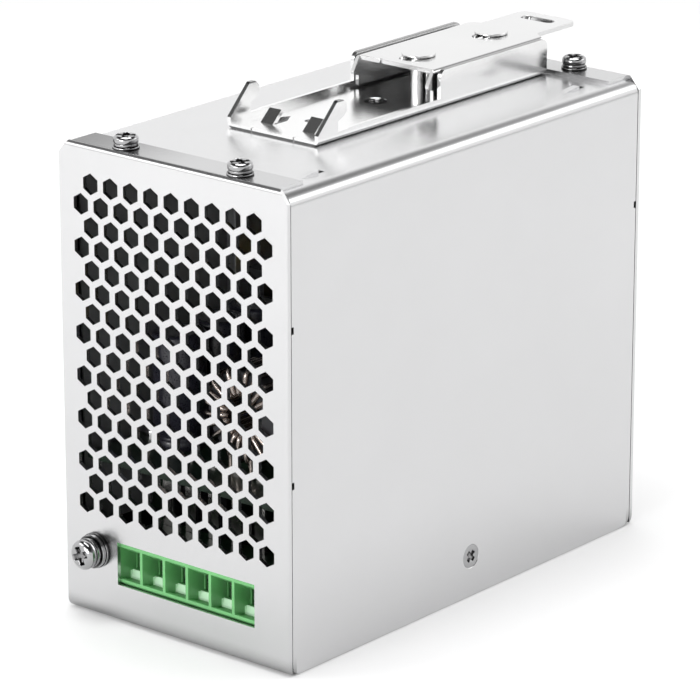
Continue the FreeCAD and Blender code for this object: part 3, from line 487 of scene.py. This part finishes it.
def screw_head(name, radius, height, dome, recess, depth, material, place, axis, turn=0.0,
               drive="cross", rings=30, steps=96, taper=0.0):
    """A screw's head: a domed disc with a soft-edged driver recess, closed underneath.
    A countersunk head's underside is narrower by the taper."""
    points = []
    rim = height - dome
    for ring in range(rings + 1):
        out = radius * math.sin(ring / rings * math.pi / 2)
        top = rim + dome * math.sqrt(max(0.0, 1 - (out / radius) ** 2.4))
        for point in ring_points(out, top, steps):
            point.z -= depth * recess_depth(point.x, point.y, recess, drive)
            points.append(point)
    edge = 0.12 * MM
    foot = radius - taper
    wall = [(foot, edge), (foot - edge, 0.0), (0.0, 0.0)]
    for out, up in wall:
        points += ring_points(out, up, steps)
    faces = rings_joined(rings + 1 + len(wall), steps)
    spin = aim(axis) @ Matrix.Rotation(math.radians(turn), 3, "Z")
    return from_lists(name, [spin @ point + Vector(place) for point in points], faces, material, 50)


def sweep(name, path, section, material, closed=False, smooth_angle=40):
    """A section carried along frames (origin, across, up) of a path."""
    points = [Vector(origin) + Vector(across) * u + Vector(up) * v
              for origin, across, up in path for u, v in section]
    faces = rings_joined(len(path), len(section), closed)
    if not closed:
        faces += ring_ends(len(path), len(section))
    return from_lists(name, points, faces, material, smooth_angle)


def circle_section(radius, sides):
    return [(point.x, point.y) for point in ring_points(radius, 0, sides)]


def lock_washer(name, outer, inner, thick, material, place, axis, turn):
    """A split spring washer: one turn of square wire whose ends stand apart."""
    section = rounded_section(inner, outer, 0, thick, 0.12 * MM, 3)
    path = []
    steps = 72
    gap = 12                       # degrees between the ends
    rise = 0.12 * MM
    for step in range(steps + 1):
        angle = math.radians(gap / 2 + (360 - gap) * step / steps)
        out = Vector((math.cos(angle), math.sin(angle), 0))
        path.append(((0, 0, rise * (step / steps - 0.5)), out, (0, 0, 1)))
    piece = sweep(name, path, section, material)
    spin = aim(axis) @ Matrix.Rotation(math.radians(turn), 3, "Z")
    piece.data.transform(Matrix.Translation(Vector(place)) @ spin.to_4x4())
    return piece


def washer(name, outer, inner, thick, material, place, axis):
    """A flat ring with its outer edges broken."""
    edge = 0.1 * MM
    profile = [(inner, 0), (outer - edge, 0), (outer, edge), (outer, thick - edge),
               (outer - edge, thick), (inner, thick), (inner, 0)]
    return lathe(name, profile, material, place, axis)


def corners_of(node_name, inset):
    """Centres of four like pieces at the corners of a node's box, in order of y, then x."""
    low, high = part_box(node_name)
    return [(x, y) for y in (low.y + inset, high.y - inset) for x in (low.x + inset, high.x - inset)]


# ---- case ----------------------------------------------------------------------------
def make_case():
    softened("chassis", 0.07 * MM)
    softened("cover", 0.07 * MM)


# ---- fasteners -----------------------------------------------------------------------
def join(pieces):
    """Several meshes as one piece, for fasteners that share a node."""
    work = bmesh.new()
    for piece in pieces:
        work.from_mesh(piece.data)
    mesh = pieces[0].data
    name = pieces[0].name
    material = mesh.materials[0]
    joined = bpy.data.meshes.new(name)
    work.to_mesh(joined)
    work.free()
    for piece in pieces:
        bpy.data.objects.remove(piece)
    return as_object(name, joined, material, 45)


def make_flange_fasteners():
    low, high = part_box("flange_washers")
    thick = high.z - low.z
    radius = 3.0 * MM
    places = corners_of("flange_washers", radius)
    spring_low, spring_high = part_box("flange_spring_washers")
    head_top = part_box("flange_screws")[1].z
    hole = 1.55 * MM
    flats, springs, heads = [], [], []
    for number, (x, y) in enumerate(places):
        flats.append(washer("flat_washers_turned", radius, hole, thick, SCREW, (x, y, low.z), "Z"))
        springs.append(lock_washer("lock_washers_coiled", 2.65 * MM, hole,
                                   spring_high.z - spring_low.z - 0.12 * MM, SCREW,
                                   (x, y, spring_low.z + 0.06 * MM), "Z", 70 * number + 20))
        heads.append(screw_head("flange_screws_headed", 2.8 * MM, head_top - spring_high.z,
                                1.2 * MM, 4.5 * MM, 1.6 * MM, SCREW, (x, y, spring_high.z), "Z",
                                35 + 20 * number))
    attach(join(flats), "flange_washers")
    attach(join(springs), "flange_spring_washers")
    attach(join(heads), "flange_screws")


def make_earth_fasteners():
    low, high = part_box("earth_washer")
    x, z = (low.x + high.x) / 2, (low.z + high.z) / 2
    hole = 2.05 * MM
    flat = washer("earth_washer_turned", (high.x - low.x) / 2, hole, high.y - low.y, SCREW,
                  (x, high.y, z), "-Y")
    attach(flat, "earth_washer")
    low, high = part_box("earth_cup_washer")
    cup = washer("earth_cup_turned", (high.x - low.x) / 2, hole, high.y - low.y, SCREW,
                 (x, high.y, z), "-Y")
    attach(cup, "earth_cup_washer")
    low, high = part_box("earth_spring_washer")
    spring = lock_washer("earth_lock_coiled", 3.4 * MM, hole, high.y - low.y - 0.12 * MM, SCREW,
                         (x, high.y - 0.06 * MM, z), "-Y", -66)
    attach(spring, "earth_spring_washer")
    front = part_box("earth_screw")[0].y
    head = screw_head("earth_screw_headed", 3.4 * MM, low.y - front, 1.4 * MM, 4.6 * MM, 1.5 * MM,
                      SCREW, (x, low.y, z), "-Y", 22)
    attach(head, "earth_screw")


def make_side_screws():
    low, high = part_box("side_screws")
    y, z = (low.y + high.y) / 2, (low.z + high.z) / 2
    heads = []
    for side, axis in ((low.x, "-X"), (high.x, "X")):
        inward = 1 if side < 0 else -1
        base = side + inward * 1.1 * MM
        heads.append(screw_head("side_screws_headed", 2.78 * MM, 1.1 * MM, 0.12 * MM, 3.3 * MM,
                                0.8 * MM, SCREW, (base, y, z), axis, 45))
    attach(join(heads), "side_screws")


# ---- rail clip -----------------------------------------------------------------------
def make_clip():
    softened("clip_bracket", 0.06 * MM, BRACKET)
    softened("rail_latch", 0.06 * MM, PLATE)
    low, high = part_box("guide_pins")
    radius = (high.x - low.x) / 2
    x = (low.x + high.x) / 2
    top = high.z - low.z
    under = top - 0.55 * MM
    rim = 0.08 * MM
    profile = [(0.0, 0.0), (1.3 * MM, 0.0), (1.3 * MM, 1.0 * MM), (2.0 * MM, 1.0 * MM),
               (2.0 * MM, under), (radius - rim, under), (radius, under + rim),
               (radius, top - rim), (radius - rim, top), (0.0, top)]
    pins = [lathe("guide_pins_turned", profile, PLATE, (x, y, low.z), "Z", 96)
            for y in (low.y + radius, high.y - radius)]
    attach(join(pins), "guide_pins")
    make_bracket_screws()
    make_latch_spring()


def make_bracket_screws():
    """Countersunk heads, flush with the bracket's floor."""
    low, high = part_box("bracket_screws")
    radius = (high.x - low.x) / 2
    x = (low.x + high.x) / 2
    deep = 0.9 * MM
    heads = [screw_head("bracket_screws_headed", radius, deep, 0.08 * MM, 3.2 * MM, 0.7 * MM,
                        SCREW, (x, y, high.z - deep), "Z", 25, taper=1.0 * MM)
             for y in (low.y + radius, high.y - radius)]
    attach(join(heads), "bracket_screws")


def make_latch_spring():
    """A compression spring with closed ends; the real one shortens as the latch is pulled, but this coil
    keeps its shape.
    """
    low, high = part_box("latch_spring")
    wire = 0.35 * MM
    x, z = (low.x + high.x) / 2, (low.z + high.z) / 2
    radius = (high.x - low.x) / 2 - wire
    length = high.y - low.y - 2 * wire
    turns, steps = 9, 28
    path = []
    for step in range(turns * steps + 1):
        share = step / (turns * steps)
        angle = 2 * math.pi * turns * share
        eased = smooth_step(share) * 0.35 + share * 0.65
        out = Vector((math.cos(angle), 0, math.sin(angle)))
        path.append((Vector((x, low.y + wire + eased * length, z)) + out * radius, out, (0, 1, 0)))
    spring = sweep("latch_spring_coiled", path, circle_section(wire, 10), SPRING, False, 60)
    attach(spring, "latch_spring")
    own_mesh(spring)


# ---- terminal block ------------------------------------------------------------------
def make_terminals():
    softened("terminal_housing", 0.12 * MM, GREEN)
    softened("terminal_bars", 0.10 * MM, TIN)
    for way in range(1, 7):
        softened("terminal_clamp_%d" % way, 0.08 * MM, CAGE)
        make_terminal_screw(way)


def make_terminal_screw(way):
    """A slotted clamp screw: its head faces the front panel, its thread runs up into the cage."""
    node_name = "terminal_screw_%d" % way
    low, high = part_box(node_name)
    x, y = (low.x + high.x) / 2, (low.y + high.y) / 2
    head_h = 1.4 * MM
    head = screw_head(node_name + "_headed", (high.x - low.x) / 2, head_h, 0.2 * MM, 3.9 * MM,
                      0.7 * MM, CAGE, (x, y, low.z + head_h), "-Z", 20 + 37 * way, "slot", 22, 72)
    rise = high.z - low.z - head_h
    crests = 14
    thread = [(1.25 * MM if step % 2 else 1.05 * MM, head_h + rise * step / (2 * crests))
              for step in range(2 * crests + 1)]
    profile = [(0, head_h)] + thread + [(0, head_h + rise)]
    shank = lathe(node_name + "_shank", profile, CAGE, (x, y, low.z), "Z", 32)
    attach(join([head, shank]), node_name)


# ---- inside --------------------------------------------------------------------------
def make_cans(node_name, radius):
    """Aluminium cans in shrink sleeves: a rolled groove, a rolled-over top and a scored vent."""
    low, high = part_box(node_name)
    height = high.z - low.z
    places = [(x, y) for x in spaced(low.x + radius, high.x - radius, radius)
              for y in spaced(low.y + radius, high.y - radius, radius)]
    sleeves, tops = [], []
    foot = 0.4 * MM
    groove, dip = 3.0 * MM, 0.5 * MM
    bend = 0.8 * MM                # half the groove's height, and the radius of the rolled-over top
    sunk = height - 0.15 * MM
    profile = [(0, 0), (radius - foot, 0), (radius, foot), (radius, groove - bend)]
    profile += [(radius - dip * math.sin(math.pi * part / 8), groove - bend + 2 * bend * part / 8)
                for part in range(1, 8)]
    profile += [(radius, groove + bend), (radius, height - bend)]
    for turn in (math.radians(30), math.radians(60), math.radians(90)):
        profile.append((radius - bend * (1 - math.cos(turn)), height - bend + bend * math.sin(turn)))
    profile += [(radius - 2 * bend, height), (radius - 2 * bend - 0.1 * MM, sunk), (0, sunk)]
    for x, y in places:
        sleeves.append(lathe(node_name + "_sleeved", profile, SLEEVE, (x, y, low.z), "Z", 72))
        tops.append(screw_head(node_name + "_tops", radius - 1.75 * MM, 0.22 * MM, 0.02 * MM,
                               radius * 1.5, 0.12 * MM, ALUMINIUM, (x, y, low.z + height - 0.26 * MM),
                               "Z", 45, rings=24, steps=72))
    attach(join(sleeves), node_name)
    attach(join(tops), node_name)


def spaced(first, last, radius):
    """Centres from first to last, at least a diameter and a little apart."""
    count = int(round((last - first) / (2.08 * radius))) + 1 if last - first > radius else 1
    if count == 1:
        return [first]
    return [first + (last - first) * number / (count - 1) for number in range(count)]


def make_ring_winding():
    """Thick enamelled wire round the ring inductor's core, turn beside turn, and its two legs."""
    low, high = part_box("inductor_core")
    centre = (low + high) / 2
    outer = (high.x - low.x) / 2
    inner = 5.4 * MM
    half = (high.y - low.y) / 2
    wire = 0.62 * MM
    clear = wire + 0.05 * MM
    loop = rounded_section(inner - clear, outer + clear, -half - clear, half + clear, 1.3 * MM, 5)
    turns = []
    count = 22
    first, spread = 20, 320
    for turn in range(count):
        angle = math.radians(first + spread * turn / (count - 1))
        out = Vector((math.cos(angle), 0, math.sin(angle)))
        across = Vector((-math.sin(angle), 0, math.cos(angle)))
        points = [centre + out * reach + Vector((0, along, 0)) for reach, along in loop]
        path = []
        for index, point in enumerate(points):
            ahead = (points[(index + 1) % len(points)] - points[index - 1]).normalized()
            path.append((point, across, ahead.cross(across)))
        turns.append(sweep("ring_winding_turns", path, circle_section(wire, 10), COPPER, True, 60))
    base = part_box("main_board")[1].z
    foot = centre.y - half - wire
    for shift in (-3.0 * MM, 3.0 * MM):
        path = [((centre.x + shift, foot, base + rise * MM), (1, 0, 0), (0, 1, 0))
                for rise in (0.0, 1.6, 3.2)]
        turns.append(sweep("ring_winding_legs", path, circle_section(0.7 * MM, 12), TIN))
    attach(join(turns), "inductor_winding")


def make_transformer_tape():
    """Taped windings: overlapping layers show as fine steps up the coil's sides."""
    low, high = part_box("transformer_winding")
    levels = 45
    points = []
    for level in range(levels):
        z = low.z + (high.z - low.z) * level / (levels - 1)
        inset = 0.15 * MM - 0.12 * MM * (level % 2)
        section = rounded_section(low.x + inset, high.x - inset, low.y + inset, high.y - inset,
                                  5.0 * MM, 10)
        points += [(x, y, z) for x, y in section]
    steps = len(section)
    faces = rings_joined(levels, steps) + ring_ends(levels, steps)
    attach(from_lists("transformer_tape_layers", points, faces, TAPE, 12), "transformer_winding")


def make_inside():
    make_cans("bulk_capacitors", 10.8 * MM)
    make_cans("output_capacitors", 6.2 * MM)
    make_ring_winding()
    make_transformer_tape()
    for node_name in ("inductor_core", "power_transistors", "output_rectifiers", "bridge_rectifier",
                      "transformer_core", "transformer_base", "line_filter", "line_filter_winding",
                      "x_capacitors", "trimmer_body"):
        softened(node_name, 0.25 * MM)
    for node_name in ("main_board", "control_board", "control_chips", "primary_heat_sink",
                      "secondary_heat_sink", "standoffs", "fuse_caps"):
        softened(node_name, 0.08 * MM)


make_case()
make_flange_fasteners()
make_earth_fasteners()
make_side_screws()
make_clip()
make_terminals()
make_inside()


# ---- studio --------------------------------------------------------------------------
def make_floor():
    half = 3.0
    mesh = bpy.data.meshes.new("floor")
    mesh.from_pydata([(-half, -half, 0), (half, -half, 0), (half, half, 0), (-half, half, 0)], [],
                     [(0, 1, 2, 3)])
    floor = bpy.data.objects.new("floor", mesh)
    bpy.context.scene.collection.objects.link(floor)
    material, tree, shader = new_material("pale_floor")
    shader.inputs["Base Color"].default_value = (0.93, 0.93, 0.93, 1)
    shader.inputs["Roughness"].default_value = 0.9
    shader.inputs["Specular IOR Level"].default_value = 0.1
    mesh.materials.append(material)


def make_world():
    """White from below the horizon up to a dark ceiling, and dim sooner to the front right."""
    band_top, ceiling = math.sin(math.radians(31)), math.sin(math.radians(45))
    dim_from, dim_to = math.sin(math.radians(16)), math.sin(math.radians(26))
    world = bpy.data.worlds.new("studio")
    bpy.context.scene.world = world
    world.use_nodes = True
    tree = world.node_tree
    place = add(tree, "ShaderNodeTexCoord")
    split = add(tree, "ShaderNodeSeparateXYZ")
    tree.links.new(place.outputs["Generated"], split.inputs["Vector"])
    height = split.outputs["Z"]
    band = ramped(tree, height, band_top, ceiling, 1.0, 0.05)
    side = add(tree, "ShaderNodeVectorMath", operation="DOT_PRODUCT")
    tree.links.new(place.outputs["Generated"], side.inputs[0])
    front_right = (0.64, -0.77, 0.0)
    side.inputs[1].default_value = front_right
    toward = ramped(tree, side.outputs["Value"], 0.25, 0.75, 0.0, 0.95)
    above = ramped(tree, height, dim_from, dim_to, 0.0, 1.0)
    dim = add(tree, "ShaderNodeMath", operation="SUBTRACT")
    dim.inputs[0].default_value = 1.0
    tree.links.new(product(tree, toward, above), dim.inputs[1])
    background = tree.nodes["Background"]
    background.inputs["Color"].default_value = (1.0, 1.0, 1.0, 1)
    bright = add(tree, "ShaderNodeMath", operation="MULTIPLY")
    bright.inputs[1].default_value = 1.25
    tree.links.new(product(tree, band, dim.outputs[0]), bright.inputs[0])
    tree.links.new(bright.outputs[0], background.inputs["Strength"])


def area_light(name, place, target, size, power):
    data = bpy.data.lights.new(name, "AREA")
    data.shape = "RECTANGLE"
    data.size, data.size_y = size
    data.energy = power
    lamp = bpy.data.objects.new(name, data)
    bpy.context.scene.collection.objects.link(lamp)
    lamp.location = place
    lamp.rotation_euler = (Vector(target) - Vector(place)).to_track_quat("-Z", "Y").to_euler()
    lamp.visible_camera = False


def make_camera():
    """Three-quarter view from the terminal end, from the right and a little above."""
    azimuth, elevation = math.radians(39.91), math.radians(18.25)
    distance = 0.976
    target = Vector((-2.25 * MM, 0, 51.9 * MM))
    away = Vector((math.sin(azimuth) * math.cos(elevation), -math.cos(azimuth) * math.cos(elevation),
                   math.sin(elevation)))
    data = bpy.data.cameras.new("camera")
    data.sensor_width = 36.0
    data.lens = 219.0
    data.clip_start = 0.01
    camera = bpy.data.objects.new("camera", data)
    bpy.context.scene.collection.objects.link(camera)
    camera.location = target + away * distance
    camera.rotation_euler = (-away).to_track_quat("-Z", "Y").to_euler()
    bpy.context.scene.camera = camera


make_floor()
make_world()
area_light("overhead", (0.0, 0.0, 1.5), (0, 0, 0.05), (1.1, 1.1), 19)
area_light("front", (0.0, -0.95, 0.25), (0, -0.06, 0.01), (0.5, 0.3), 4.8)
area_light("front_left", (-0.38, -0.48, 0.35), (-0.34, -0.44, 0.0), (0.3, 0.3), 0.60)
area_light("right_rear", (0.32, 0.40, 0.35), (0.28, 0.36, 0.0), (0.3, 0.3), 0.40)
make_camera()
bpy.context.scene.view_settings.view_transform = "Standard"
